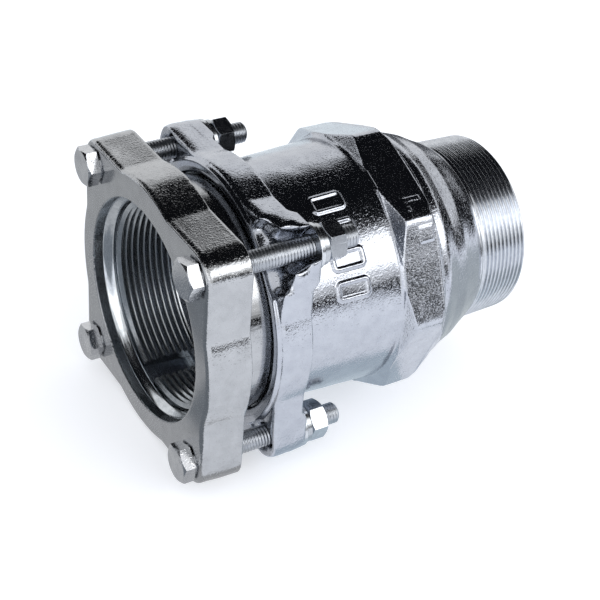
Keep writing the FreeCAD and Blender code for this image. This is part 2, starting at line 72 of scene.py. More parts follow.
def grid_object(name, points, wrap_rows, wrap_columns=True):
    """A mesh over an array of points in millimetres, row by row. Quads join each point to its neighbours in
    the next row and column; a wrapped side also joins its last line to its first. Rows that shrink to one
    point are merged, which closes the pole."""
    rows, columns = points.shape[:2]
    index = np.arange(rows * columns).reshape(rows, columns)
    here = index if wrap_rows else index[:-1]
    below = np.roll(index, -1, 0) if wrap_rows else index[1:]
    if not wrap_columns:
        here, below = here[:, :-1], below[:, :-1]
    along_here = np.roll(index, -1, 1)[:here.shape[0]] if wrap_columns else index[:here.shape[0], 1:]
    all_next = np.roll(index, -1, 0) if wrap_rows else index[1:]
    along_below = np.roll(all_next, -1, 1) if wrap_columns else all_next[:, 1:]
    quads = np.stack([here, below, along_below, along_here], -1).reshape(-1, 4)
    mesh = bpy.data.meshes.new(name)
    mesh.from_pydata((points.reshape(-1, 3) * MM).tolist(), [], quads.tolist())
    return finished_object(name, mesh)


def finished_object(name, mesh):
    """Merges doubles, drops what collapsed, turns the faces outwards and links the object to the scene."""
    shape = bmesh.new()
    shape.from_mesh(mesh)
    bmesh.ops.remove_doubles(shape, verts=shape.verts, dist=2e-6)
    bmesh.ops.dissolve_degenerate(shape, edges=shape.edges, dist=1e-6)
    bmesh.ops.recalc_face_normals(shape, faces=shape.faces)
    for face in shape.faces:
        face.smooth = True
    shape.to_mesh(mesh)
    shape.free()
    piece = bpy.data.objects.new(name, mesh)
    bpy.context.scene.collection.objects.link(piece)
    return piece


def swells(points, wavelength, seed):
    """Slow waves over space, about one high at most: the mean of sine waves of nearly one wavelength that run
    in random but fixed directions."""
    draw = np.random.default_rng(seed)
    count = 22
    way = draw.normal(size=(count, 3))
    way /= np.linalg.norm(way, axis=1)[:, None]
    length = wavelength * draw.uniform(0.75, 1.4, count)
    phase = draw.uniform(0, 2 * np.pi, count)
    waves = np.sin(points @ (way / length[:, None] * 2 * np.pi).T + phase)
    return waves.sum(-1) / np.sqrt(count) / 1.4


def skin(points):
    """How far the cast skin stands off its true form, in millimetres, at points in millimetres."""
    return 0.09 * swells(points, 19.0, 3) + 0.022 * swells(points, 7.0, 5) + 0.008 * swells(points, 3.1, 8)


def soft_max(a, b, blend):
    """The larger of a and b, with the crease between them rounded over about blend."""
    return (a + b + np.sqrt((a - b) ** 2 + blend ** 2)) / 2


def block(along, across, size_along, size_across, edge):
    """1 inside a rectangle and 0 outside, with a sloping edge: the distance to the rectangle's outline over
    the edge's width, smoothed at both ends."""
    reach = np.maximum(np.abs(along) - size_along / 2, np.abs(across) - size_across / 2)
    ramp = np.clip(0.5 - reach / edge, 0, 1)
    return ramp * ramp * (3 - 2 * ramp)


def ridge(along, across, size_along, size_across, corner, line):
    """A round ridge along a rectangle with round corners: 1 on the rectangle's line, and falling like a
    circle to 0 at half the line's width from it."""
    over_along = np.abs(along) - size_along / 2 + corner
    over_across = np.abs(across) - size_across / 2 + corner
    outside = np.hypot(np.maximum(over_along, 0), np.maximum(over_across, 0))
    distance = outside + np.minimum(np.maximum(over_along, over_across), 0) - corner
    return np.sqrt(np.clip(1 - (2 * distance / line) ** 2, 0, 1))


def barrel_radius(x, turn):
    """The barrel's radius at x and at an angle from +Y towards +Z: the turned line, or the octagon where it
    stands further out, plus beads at the chamber's end and behind the octagon, frames and blocks."""
    line = np.array(BARREL_LINE)
    turned = np.interp(x, line[:, 0], line[:, 1])
    flat_turn = np.mod(turn, np.pi / 4) - np.pi / 8
    octagon = OCTAGON_FLAT_R / np.cos(flat_turn)
    octagon = -soft_max(-octagon, np.full_like(octagon, -OCTAGON_CORNER_R), 0.5)
    from_corner = np.mod(turn + np.pi / 8, np.pi / 4) - np.pi / 8
    front_cut = (CHAMBER_END[1] + (x - CHAMBER_END[0]) * OCTAGON_CORNER_SLOPE) / np.cos(from_corner)
    back = np.interp(x, *np.array(OCTAGON_BACK).T, right=HIDDEN_R)
    octagon = -soft_max(soft_max(-octagon, -front_cut, 0.25), -back, 0.35)
    octagon = np.where(x > CHAMBER_END[0] - 0.05, octagon, HIDDEN_R)
    radius = np.where(x > 90, soft_max(turned, octagon, 0.4), turned)
    for middle in BEAD_MIDDLES:
        radius = radius + BEAD_HEIGHT * np.exp(-((x - middle) / BEAD_WIDTH) ** 2)
    side = np.degrees(np.arctan2(np.sin(turn), -np.cos(turn)))
    for angle in FRAME_ANGLES:
        across = np.radians(side - angle) * FRAME_R
        frame_form = ridge(x - FRAME_MIDDLE_X, across, *FRAME_SIZE, FRAME_CORNER, FRAME_LINE)
        radius = radius + FRAME_HEIGHT * frame_form
    for middle, angle, long, wide in BLOCKS:
        across = np.radians(side - angle) * BLOCK_R
        radius = radius + BLOCK_HEIGHT * block(x - middle, across, long, wide, BLOCK_EDGE)
    return radius


def turned_points(x, r, turn):
    """Points at distance r from the pipe's axis, at an angle from +Y towards +Z."""
    x, r, turn = np.broadcast_arrays(x, r, turn)
    return np.stack([x, r * np.cos(turn), r * np.sin(turn)], -1)


dense = np.radians(np.arange(106.0, 166.0, 0.5))
turn = np.concatenate([dense, dense[-1] + np.arange(1, 340) / 340 * (2 * np.pi - dense[-1] + dense[0])])
x = np.concatenate([np.arange(52.0, 65.5, 0.9), np.arange(66.0, 85.5, 0.5), np.arange(86.0, 98.4, 0.9),
                    np.arange(98.5, 105.0, 0.22), np.arange(105.0, 116.4, 0.8), np.arange(116.4, 124.6, 0.3),
                    np.arange(124.6, 152.4, 0.9), [152.4, 152.5]])[:, None]
outside = turned_points(x, barrel_radius(x, turn), turn)
pushed = skin(outside) * np.clip((152.3 - x) / 4, 0, 1)
outside = turned_points(x, barrel_radius(x, turn) + pushed, turn)
bore = np.array([(151.5, WATERWAY_R)] + PIPE_STOP[::-1] + [(90.0, 50.0), (56.0, 50.0)])
inside = turned_points(bore[:, :1], bore[:, 1:], turn)
barrel = grid_object("body_barrel", np.concatenate([outside, inside]), True)


def linear(colour):
    """An sRGB hex colour as linear red, green, blue and alpha."""
    values = np.array([int(colour[i:i + 2], 16) / 255 for i in (1, 3, 5)])
    values = np.where(values <= 0.04045, values / 12.92, ((values + 0.055) / 1.055) ** 2.4)
    return (*values, 1.0)


def add(tree, kind, settings=None, links=None):
    """Adds a node: settings go to sockets by name or number, or to the node itself; links join its inputs."""
    node = tree.nodes.new(kind)
    for key, value in (settings or {}).items():
        if isinstance(key, int) or key in node.inputs:
            node.inputs[key].default_value = value
        else:
            setattr(node, key, value)
    for key, output in (links or {}).items():
        tree.links.new(output, node.inputs[key])
    return node


def new_material(name):
    material = bpy.data.materials.new(name)
    material.use_nodes = True
    material.node_tree.nodes.clear()
    return material, material.node_tree


def finish_with(piece, material, body, node=None):
    piece.data.materials.clear()
    piece.data.materials.append(material)
    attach(piece, body)
    if node:
        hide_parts(node)


SAND_CELL = 0.65
LUMP_CELL = 1.1
CAST_PATCH = 7.0
PATCH_MATTE = 0.07                           # how much rougher the duller patches are
CRUMB_MATTE = 0.16


def cast_metal(name, colour, dull, roughness, grain, pits, matte_x=None):
    """Plated casting: a colour that turns to a duller one in patches, sand grains and scattered taller
    grains, whose heights are given in millimetres. There are none where the mesh's attribute "turned" is 1,
    and in front of matte_x the surface is a dull face."""
    material, tree = new_material(name)
    place = add(tree, "ShaderNodeTexCoord").outputs["Object"]
    sand = add(tree, "ShaderNodeTexNoise", {"Scale": 1000 / SAND_CELL, "Detail": 1.0, "Roughness": 0.45},
               {"Vector": place})
    lumps = add(tree, "ShaderNodeTexNoise", {"Scale": 1000 / LUMP_CELL, "Detail": 0.0}, {"Vector": place})
    tall = add(tree, "ShaderNodeMapRange",
               {"interpolation_type": "SMOOTHSTEP", "From Min": 0.58, "From Max": 0.70},
               {"Value": lumps.outputs["Fac"]})
    low = add(tree, "ShaderNodeMath", {"operation": "MULTIPLY", 1: grain}, {0: sand.outputs["Fac"]})
    height = add(tree, "ShaderNodeMath", {"operation": "MULTIPLY_ADD", 1: pits},
                 {0: tall.outputs["Result"], 2: low.outputs[0]})
    turned = add(tree, "ShaderNodeAttribute", {"attribute_name": "turned"})
    rough = add(tree, "ShaderNodeMath", {"operation": "SUBTRACT", 0: 1.0}, {1: turned.outputs["Fac"]})
    kept = add(tree, "ShaderNodeMath", {"operation": "MULTIPLY"}, {0: height.outputs[0], 1: rough.outputs[0]})
    bump = add(tree, "ShaderNodeBump", {"Strength": 1.0, "Distance": MM}, {"Height": kept.outputs[0]})
    patches = add(tree, "ShaderNodeTexNoise",
                  {"Scale": 1000 / CAST_PATCH, "Detail": 4.0, "Roughness": 0.6}, {"Vector": place})
    share = add(tree, "ShaderNodeMapRange", {"From Min": 0.35, "From Max": 0.7},
                {"Value": patches.outputs["Fac"]})
    tone = add(tree, "ShaderNodeMix", {"data_type": "RGBA", 6: linear(colour), 7: linear(dull)},
               {0: share.outputs["Result"]})
    patchy = add(tree, "ShaderNodeMapRange", {"To Min": roughness, "To Max": roughness + PATCH_MATTE},
                 {"Value": share.outputs["Result"]})
    crumbs = add(tree, "ShaderNodeMapRange", {"From Min": 0.56, "From Max": 0.68, "To Max": CRUMB_MATTE},
                 {"Value": sand.outputs["Fac"]})
    matte = add(tree, "ShaderNodeMath", {"operation": "ADD"},
                {0: patchy.outputs["Result"], 1: crumbs.outputs["Result"]})
    if matte_x is not None:
        along = add(tree, "ShaderNodeSeparateXYZ", links={0: place})
        face = add(tree, "ShaderNodeMapRange", {"From Min": matte_x * MM, "From Max": (matte_x + 0.4) * MM,
                                                "To Min": CRUMB_MATTE, "To Max": 0.0},
                   {"Value": along.outputs["X"]})
        matte = add(tree, "ShaderNodeMath", {"operation": "MAXIMUM"},
                    {0: matte.outputs[0], 1: face.outputs["Result"]})
    shader = add(tree, "ShaderNodeBsdfPrincipled", {"Metallic": 1.0},
                 {"Base Color": tone.outputs[2], "Roughness": matte.outputs[0],
                  "Normal": bump.outputs["Normal"]})
    add(tree, "ShaderNodeOutputMaterial", links={"Surface": shader.outputs["BSDF"]})
    return material


# Bright zinc plate on a sand casting gives the eye a mirror that is broken into specks, the mould's grains.
cast_zinc = cast_metal("bright zinc plate on sand cast iron", "#babec6", "#aeb2bb", 0.10, 0.056, 0.028)
finish_with(barrel, cast_zinc, "union_body", "body_casting")

# Male pipe thread: cut on the body's end with a die, 11 threads to the inch, tapering 1 in 16 on the
# diameter. The crests are rounded, the first turns run out in the neck, and the end is chamfered.
PITCH = 25.4 / 11
THREAD_DEPTH = 1.4
THREAD_X = (151.0, 180.0)
CREST_AT_END = 43.3
TAPER_RUN = 32                               # length over which the crest grows by one, 1 in 16 on both sides
RUNOUT_X = 152.2
CHAMFER_ROOT = 1.6
ROWS_A_TURN = 12


def thread_height(x, turn, pitch):
    """0 at a crest and 1 at a root: a triangle wave of the helix's phase, rounded at both ends."""
    phase = np.mod(x / pitch - turn / (2 * np.pi), 1)
    ramp = np.clip((1 - np.abs(2 * phase - 1)) * 1.25 - 0.125, 0, 1)
    return 0.35 * ramp + 0.65 * ramp * ramp * (3 - 2 * ramp)


turn = np.arange(300) / 300 * 2 * np.pi
x = np.arange(THREAD_X[0], THREAD_X[1], PITCH / ROWS_A_TURN)[:, None]
crest = CREST_AT_END + (THREAD_X[1] - x) / TAPER_RUN
depth = THREAD_DEPTH * np.clip((x - RUNOUT_X) / 4, 0, 1)
chamfer = CREST_AT_END - CHAMFER_ROOT + (THREAD_X[1] - x) + 0.3
cut = np.minimum(crest - depth * thread_height(x, turn, PITCH), chamfer)
outside = turned_points(x, cut, turn)
closing = np.array([(THREAD_X[1], 41.6), (THREAD_X[1], 41.0), (THREAD_X[1] - 1, WATERWAY_R),
                    (165.0, WATERWAY_R), (THREAD_X[0], WATERWAY_R)])
inside = turned_points(closing[:, :1], closing[:, 1:], turn)
thread = grid_object("pipe_thread", np.concatenate([outside, inside]), True)
thread.data.set_sharp_from_angle(angle=0.9)

TURNED_PATCH = 3.0


def turned_metal(name, colour, dull, roughness, spacing, depth, centre=(0, 0)):
    """Plated steel cut on a lathe: fine rings about a line along X, from noise over the distance along it
    and from it, and a faint change of colour from patch to patch."""
    material, tree = new_material(name)
    place = add(tree, "ShaderNodeTexCoord").outputs["Object"]
    moved = add(tree, "ShaderNodeMapping", {"Location": (0, -centre[0] * MM, -centre[1] * MM)},
                {"Vector": place})
    across = add(tree, "ShaderNodeVectorMath", {"operation": "MULTIPLY", 1: (0, 1, 1)}, {0: moved.outputs[0]})
    radius = add(tree, "ShaderNodeVectorMath", {"operation": "LENGTH"}, {0: across.outputs[0]})
    along = add(tree, "ShaderNodeSeparateXYZ", links={0: moved.outputs[0]})
    line = add(tree, "ShaderNodeCombineXYZ", links={0: along.outputs["X"], 1: radius.outputs["Value"]})
    rings = add(tree, "ShaderNodeTexNoise", {"Scale": 1000 / spacing, "Detail": 1.5},
                {"Vector": line.outputs[0]})
    bump = add(tree, "ShaderNodeBump", {"Strength": 1.0, "Distance": depth * MM},
               {"Height": rings.outputs["Fac"]})
    patches = add(tree, "ShaderNodeTexNoise", {"Scale": 1000 / TURNED_PATCH, "Detail": 4.0},
                  {"Vector": place})
    share = add(tree, "ShaderNodeMapRange", {"From Min": 0.35, "From Max": 0.7},
                {"Value": patches.outputs["Fac"]})
    tone = add(tree, "ShaderNodeMix", {"data_type": "RGBA", 6: linear(colour), 7: linear(dull)},
               {0: share.outputs["Result"]})
    matte = add(tree, "ShaderNodeMapRange", {"To Min": roughness, "To Max": roughness + PATCH_MATTE},
                {"Value": share.outputs["Result"]})
    shader = add(tree, "ShaderNodeBsdfPrincipled", {"Metallic": 1.0},
                 {"Base Color": tone.outputs[2], "Roughness": matte.outputs["Result"],
                  "Normal": bump.outputs["Normal"]})
    add(tree, "ShaderNodeOutputMaterial", links={"Surface": shader.outputs["BSDF"]})
    return material


# Cut steel under thin zinc: brighter and smoother than the cast skin, with fine rings from the tool.
cut_zinc = turned_metal("zinc plate on cut steel", "#ccd0d6", "#bec2c9", 0.14, 0.35, 0.01)
finish_with(thread, cut_zinc, "union_body", "body_casting")


# Lugged flange of the body: cast in one with the barrel. Two lugs are open slots and two have closed holes.
# The fettled edges are round and a little uneven, so the CAD form is remeshed finely and its skin displaced.
VOXEL = 0.5
SOFTEN_ROUNDS = 6
KEPT_SHARE = 0.45                            # of the faces, after those of flat parts are merged
FLANGE_END_X = 56.0                          # where the barrel takes over
RELAX_ROUNDS = 90


def points_of(mesh):
    """A mesh's points in millimetres, one row each."""
    points = np.empty(len(mesh.vertices) * 3, np.float32)
    mesh.vertices.foreach_get("co", points)
    return points.reshape(-1, 3).astype(float) / MM


def relax(mesh, rounds, share):
    """Rounds a mesh off: in each round a point moves towards the mean of its neighbours, by its share."""
    points = points_of(mesh)
    ends = np.empty(len(mesh.edges) * 2, np.int64)
    mesh.edges.foreach_get("vertices", ends)
    one, other = ends.reshape(-1, 2).T
    count = len(points)
    neighbours = np.bincount(one, minlength=count) + np.bincount(other, minlength=count)
    weight = (share(points) / neighbours)[:, None]
    for _ in range(rounds):
        total = [np.bincount(one, points[other, k], count) + np.bincount(other, points[one, k], count)
                 for k in range(3)]
        points = points + weight * (np.stack(total, -1) - neighbours[:, None] * points)
    mesh.vertices.foreach_set("co", (points * MM).astype(np.float32).ravel())
    mesh.update()


def casting(name, node, voxel, keep_below=None, rounds=0, share=None):
    """A copy of a CAD node, merged, cut off beyond keep_below along the pipe, remeshed into even quads,
    smoothed so that its edges are round, most of all where share says so, and thinned where it is flat."""
    mesh = nodes[node].data.copy()
    shape = bmesh.new()
    shape.from_mesh(mesh)
    bmesh.ops.remove_doubles(shape, verts=shape.verts, dist=1e-6)
    if keep_below:
        everything = list(shape.verts) + list(shape.edges) + list(shape.faces)
        bmesh.ops.bisect_plane(shape, geom=everything, plane_co=(keep_below * MM, 0, 0), plane_no=(1, 0, 0),
                               clear_outer=True)
        rim = [edge for edge in shape.edges if edge.is_boundary]
        bmesh.ops.triangle_fill(shape, edges=rim, use_beauty=True)
    shape.to_mesh(mesh)
    shape.free()
    rough = bpy.data.objects.new(name + "_rough", mesh)
    bpy.context.scene.collection.objects.link(rough)
    remesh = rough.modifiers.new("remesh", "REMESH")
    remesh.mode = "VOXEL"
    remesh.voxel_size = voxel * MM
    soften = rough.modifiers.new("soften", "SMOOTH")
    soften.factor = 0.5
    soften.iterations = SOFTEN_ROUNDS
    bpy.context.view_layer.update()
    soft = bpy.data.meshes.new_from_object(rough.evaluated_get(bpy.context.evaluated_depsgraph_get()))
    if rounds:
        relax(soft, rounds, share)
    rough.modifiers.clear()
    rough.data = soft
    thin = rough.modifiers.new("thin", "DECIMATE")
    thin.ratio = KEPT_SHARE
    bpy.context.view_layer.update()
    done = bpy.data.meshes.new_from_object(rough.evaluated_get(bpy.context.evaluated_depsgraph_get()))
    bpy.data.objects.remove(rough)
    return finished_object(name, done)


def push(piece, amount, turned):
    """Moves each point along its normal by amount(points), in millimetres, and writes turned(points), 1 on a
    turned surface and 0 on a cast one, to the attribute that the cast finish reads."""
    mesh = piece.data
    points = points_of(mesh)
    normals = np.empty(len(mesh.vertices) * 3, np.float32)
    mesh.vertices.foreach_get("normal", normals)
    mark = mesh.attributes.new("turned", "FLOAT", "POINT")
    mark.data.foreach_set("value", turned(points).astype(np.float32))
    points += normals.reshape(-1, 3) * amount(points)[:, None]
    mesh.vertices.foreach_set("co", (points * MM).astype(np.float32).ravel())
    mesh.update()


OPEN_LUGS = [(-48.4, 48.4), (48.4, -48.4)]


def soft_edges(points):
    """1 on the flange's front edge and in the open lugs' scoops, fading to 0 over the rest."""
    x, y, z = points.T
    r = np.hypot(y, z)
    near = np.minimum(*[np.hypot(y - lug_y, z - lug_z) for lug_y, lug_z in OPEN_LUGS])
    scoop = np.clip((20.0 - near) / 5, 0, 1) * np.clip((53.0 - x) / 6, 0, 1) * np.clip((r - 58.5) / 2.5, 0, 1)
    edge = 0.6 * np.clip((41.0 - x) / 2.5, 0, 1) * np.clip((r - 62.5) / 2, 0, 1)
    return np.maximum(scoop, edge)


def flange_turned(points):
    """The bored mouth and the collar's front."""
    r = np.hypot(points[:, 1], points[:, 2])
    return np.clip((62.0 - r) / 0.6, 0, 1) * np.clip((37.2 - points[:, 0]) / 0.6, 0, 1)


flange = casting("lugged_flange", "body_casting", VOXEL, FLANGE_END_X, RELAX_ROUNDS, soft_edges)


def flange_skin(points):
    """The cast skin outside, nothing in the bored mouth, and a slight sink where the barrel takes over."""
    r = np.hypot(points[:, 1], points[:, 2])
    sunk = 0.25 * np.clip((points[:, 0] - 54.0) / 2.0, 0, 1)
    return np.where(r > 55.25, skin(points) - 0.12 - sunk, 0)


push(flange, flange_skin, flange_turned)
finish_with(flange, cast_zinc, "union_body", "body_casting")

# Pressure flange: sand cast iron with four lugs, zinc plated, and turned on its front face, bore and neck.
# The casting is the CAD form, remeshed and with its skin displaced. The turned bore is its own piece below.
gland = casting("clamp_flange", "pressure_flange", VOXEL)


def gland_skin(points):
    """The cast skin on the sides and back. The turned face keeps its form, and the bore sinks under its
    shell, most behind the entry, whose curve starts further in than the solid's."""
    x = points[:, 0]
    r = np.hypot(points[:, 1], points[:, 2])
    cast = np.clip((x - 1.2) / 2.5, 0, 1) * (r > 53.5)
    depth = 0.4 + 1.3 * np.clip((x - 2.2) / 1.5, 0, 1) * np.clip((8.8 - x) / 1.5, 0, 1)
    under = np.clip((52.5 - r) / 0.5, 0, 1) * np.clip((33.0 - x) / 2, 0, 1)
    sunk = depth * under * np.clip((x - 0.4) / 0.4, 0, 1)
    return cast * (skin(points) - 0.10) - sunk


def gland_turned(points):
    """The front face, the entry and the neck behind."""
    r = np.hypot(points[:, 1], points[:, 2])
    face = 0.85 * np.clip((0.5 - points[:, 0]) / 0.3, 0, 1)
    front = np.clip((14.0 - points[:, 0]) / 1.0, 0, 1) * np.clip((54.0 - r) / 0.8, 0, 1)
    neck = np.clip((points[:, 0] - 20.6) / 1.2, 0, 1) * np.clip((58.5 - r) / 1.0, 0, 1)
    return np.maximum(face, np.maximum(front, neck))


push(gland, gland_skin, gland_turned)
# The same plate on a rougher casting: greyer than the body's, with taller grains, and dull on its flat face.
dull_zinc = cast_metal("zinc plate on coarse cast iron", "#b3b5b8", "#a7a9ac", 0.12, 0.042, 0.03, 0.5)
finish_with(gland, dull_zinc, "clamp", "pressure_flange")

# The pressure flange's bore is turned: the long curve of the entry, the throat, and the cone that closes the
# grip ring. It is a thin shell laid over the casting.
BORE_FRONT = [(0.35, 52.8), (0.35, 51.5), (0.6, 51.1)]
ENTRY_MOUTH_R = 51.1
THROAT_R = 48.2
THROAT_X = 9.3
ENTRY_X = 4.5
BORE_BACK = [(9.32, 48.5), (9.32, 49.5), (22.0, 50.97), (35.0, 52.6), (35.6, 53.2), (35.6, 54.0),
             (34.0, 53.9), (10.5, 51.2), (3.5, 52.2), (0.6, 52.8)]
step = np.linspace(0, 1, 15)
entry = np.stack([ENTRY_X + (THROAT_X - 0.4 - ENTRY_X) * step,
                  ENTRY_MOUTH_R - (ENTRY_MOUTH_R - THROAT_R) * step * step * (3 - 2 * step)], -1)
profile = np.concatenate([BORE_FRONT, entry, BORE_BACK])
turn = np.arange(240) / 240 * 2 * np.pi
bore = grid_object("turned_bore", turned_points(profile[:, :1], profile[:, 1:], turn), True)
bore.data.set_sharp_from_angle(angle=0.5)
finish_with(bore, turned_metal("zinc plate on turned iron", "#ccd1d6", "#bec3c8", 0.15, 0.5, 0.006),
            "clamp", "pressure_flange")


def dress(material, *names):
    """Gives CAD nodes a material in place of their own."""
    for name in names:
        mesh = nodes[name].data
        mesh.materials.clear()
        mesh.materials.append(material)


# Grip ring: a split ring of steel with sharp turned teeth, pressed into the cone. Slip ring: a plain turned
# steel washer between the grip ring and the rubber, so that the ring turns and the rubber does not.
dress(turned_metal("zinc plate on toothed steel", "#b9bec3", "#a9aeb3", 0.17, 0.4, 0.008), "grip_ring")
dress(turned_metal("zinc plate on turned washer steel", "#bfc3c7", "#b0b4b8", 0.24, 0.4, 0.008), "slip_ring")

# Seal: a moulded ring of black nitrile rubber. It is nearly matte, and greyer where the mould was blasted.
rubber, tree = new_material("moulded black nitrile rubber")
place = add(tree, "ShaderNodeTexCoord").outputs["Object"]
fleck = add(tree, "ShaderNodeTexNoise", {"Scale": 1000 / 0.8, "Detail": 3.0}, {"Vector": place})
tone = add(tree, "ShaderNodeMix", {"data_type": "RGBA", 6: linear("#18181a"), 7: linear("#2b2b2d")},
           {0: fleck.outputs["Fac"]})
bump = add(tree, "ShaderNodeBump", {"Strength": 1.0, "Distance": 0.02 * MM}, {"Height": fleck.outputs["Fac"]})
shader = add(tree, "ShaderNodeBsdfPrincipled", {"Roughness": 0.55},
             {"Base Color": tone.outputs[2], "Normal": bump.outputs["Normal"]})
add(tree, "ShaderNodeOutputMaterial", links={"Surface": shader.outputs["BSDF"]})
dress(rubber, "seal_ring")

# Bolts: M10 hexagon screws threaded up to the head. The heads are forged and their corners topped by a cone,
# and the threads are rolled, so the crests are round and bright.
BOLTS = {"a": (48.4, 48.4, 54.0), "b": (-48.4, 48.4, -9.0), "c": (-48.4, -48.4, 42.0),
         "d": (48.4, -48.4, 49.0)}           # y, z and the head's turn in degrees
HEAD_HEIGHT = 6.4
HEAD_FLATS = 16.0
HEAD_TOP_R = 7.68
HEAD_CONE = 1.733                            # growth in radius for each millimetre below the top
WASHER_FACE_R = 7.3
WASHER_FACE = 0.5
SHANK_R = 4.4
BOLT_LENGTH = 75.0
BOLT_CREST_R = 4.95
BOLT_PITCH = 1.5
BOLT_THREAD_DEPTH = 0.42
BOLT_ROWS_A_TURN = 10


def bolt_head(name, y, z, turn_deg):
    """A hexagon, whose radius is half the flats over the cosine of the angle from the nearest flat, under a
    cone that tops its corners and meets each flat in an arc, over a round washer face; from pole to pole,
    with flat faces."""
    turn = np.radians(turn_deg) + np.arange(96) / 96 * 2 * np.pi
    hexagon = HEAD_FLATS / 2 / np.cos(np.mod(turn - np.radians(turn_deg), np.pi / 3) - np.pi / 6)
    plain = np.ones_like(turn)
    meeting = (hexagon - HEAD_TOP_R) / HEAD_CONE
    radius = np.stack([0 * plain, HEAD_TOP_R * plain, hexagon, hexagon, hexagon - 0.3, WASHER_FACE_R * plain,
                       WASHER_FACE_R * plain, SHANK_R * plain, 0 * plain])
    depth = np.stack([0 * plain, 0 * plain, meeting, (HEAD_HEIGHT - 0.8) * plain,
                      (HEAD_HEIGHT - 0.55) * plain, (HEAD_HEIGHT - WASHER_FACE) * plain, HEAD_HEIGHT * plain,
                      HEAD_HEIGHT * plain, HEAD_HEIGHT * plain])
    head = grid_object(name, turned_points(depth - HEAD_HEIGHT, radius, turn) + (0, y, z), False)
    head.data.shade_flat()
    return head


def bolt_thread(name, y, z):
    """The screw's thread. Each row runs round once as a helix, one pitch along, and ends where the row a
    turn further on begins. The radius is the crest's less the depth times the profile's height, which fades
    in under the head, and the end is bevelled."""
    turn = np.linspace(0, 2 * np.pi, 49)
    row = np.arange(-BOLT_ROWS_A_TURN, BOLT_LENGTH / BOLT_PITCH * BOLT_ROWS_A_TURN + 1)[:, None]
    x = np.clip(BOLT_PITCH * (row / BOLT_ROWS_A_TURN + turn / (2 * np.pi)), 0, BOLT_LENGTH)
    depth = BOLT_THREAD_DEPTH * np.clip((x - 0.6) / 2, 0, 1) * np.clip((BOLT_LENGTH - x) / 0.5, 0, 1)
    radius = BOLT_CREST_R - depth * thread_height(x, turn, BOLT_PITCH)
    radius = np.minimum(radius, BOLT_CREST_R - 1.0 + BOLT_LENGTH - x)
    plain = np.ones((1, turn.size))
    rows = np.concatenate([-1 * plain, -1 * plain, x, BOLT_LENGTH * plain])
    radius = np.concatenate([0 * plain, 4.0 * plain, radius, 0 * plain])
    thread = grid_object(name, turned_points(rows, radius, turn) + (0, y, z), False, False)
    thread.data.set_sharp_from_angle(angle=1.3)
    return thread


# Forged steel under bright zinc: the flats are smooth with a few shallow pits.
forged = cast_metal("bright zinc on forged steel", "#cbcdd0", "#b9bbc0", 0.12, 0.01, 0.024)
NUT_EDGE = 0.35
for station, (y, z, turn_deg) in BOLTS.items():
    head = bolt_head("bolt_head_" + station, y, z, turn_deg)
    finish_with(head, forged, "clamp", "bolt_" + station)
    shank = bolt_thread("bolt_thread_" + station, y, z)
    rolled = turned_metal("zinc on rolled screw thread " + station, "#b6bac0", "#a6aab0", 0.3, 0.3, 0.004,
                          (y, z))
    finish_with(shank, rolled, "clamp", "bolt_" + station)
    # Nut: the same plate, on turned hexagon bar. It is the CAD node with its edges broken by a bevel. The
    # flat washer after it is plated too, and stamped from sheet.
    dress(turned_metal("bright zinc on nut steel " + station, "#c9cdd3", "#bbbfc5", 0.17, 0.4, 0.006, (y, z)),
          "nut_" + station)
    weld = nodes["nut_" + station].modifiers.new("weld", "WELD")
    weld.merge_threshold = 1e-6
    edges = nodes["nut_" + station].modifiers.new("broken edges", "BEVEL")
    edges.width = NUT_EDGE * MM
    edges.segments = 2
    edges.limit_method = "ANGLE"
    edges.angle_limit = 0.7
    stamped = turned_metal("bright zinc on stamped washer " + station, "#cdd1d6", "#bfc3c8", 0.2, 0.5, 0.006,
                           (y, z))
    dress(stamped, "flat_washer_" + station)
    # Spring washer: hardened wire of square section, wound to one open turn, darker under its plate. It is
    # the CAD node as it stands.
    wire = turned_metal("zinc on hardened spring wire " + station, "#bdc1c6", "#aeb2b7", 0.2, 0.4, 0.008,
                        (y, z))
    dress(wire, "spring_washer_" + station)


# Studio: a pale floor, an even white room and one softbox at the front right. Dark, grey and blue-grey cards,
# which only reflections see, give the plating its tones. The pale grey and blue-grey cards on the floor next
# to
# the object are painted shade: the floor in the object's shadow, in fixed colours, as the plating reflects
# it.
# Cards that lie one over the other differ in height.
FLOOR_Z = -0.0650
CEILING_Z = 0.9
LOW_CARD = 0.0005                            # height over the floor, in metres like all sizes of the studio
HIGH_CARD = 0.001
SOFTBOX_STRENGTH = 1.9


def seen_directly(tree):
    """1 for rays from the camera, from a mirror and through glass, 0 for the light that falls on things."""
    path = add(tree, "ShaderNodeLightPath")
    some = add(tree, "ShaderNodeMath", {"operation": "MAXIMUM"},
               {0: path.outputs["Is Camera Ray"], 1: path.outputs["Is Glossy Ray"]})
    return add(tree, "ShaderNodeMath", {"operation": "MAXIMUM"},
               {0: some.outputs[0], 1: path.outputs["Is Transmission Ray"]}).outputs[0]


def sheet_of(name, corners, material):
    mesh = bpy.data.meshes.new(name)
    mesh.from_pydata(corners, [], [tuple(range(len(corners)))])
    mesh.materials.append(material)
    item = bpy.data.objects.new(name, mesh)
    bpy.context.scene.collection.objects.link(item)
    return item


def card(name, colour, corners, strength=1.0):
    """A card of one colour, evenly lit, that only reflections see. A stronger one is a strip light."""
    material, tree = new_material(name + " paint")
    paint = add(tree, "ShaderNodeEmission", {"Color": linear(colour), "Strength": strength})
    add(tree, "ShaderNodeOutputMaterial", links={"Surface": paint.outputs[0]})
    item = sheet_of(name, corners, material)
    item.visible_camera = False
    item.visible_shadow = False
    item.visible_diffuse = False


def table_card(name, colour, height, outline, strength=1.0):
    """A card that lies over the floor, at a height and with an outline in x and y."""
    card(name, colour, [(x, y, FLOOR_Z + height) for x, y in outline], strength)


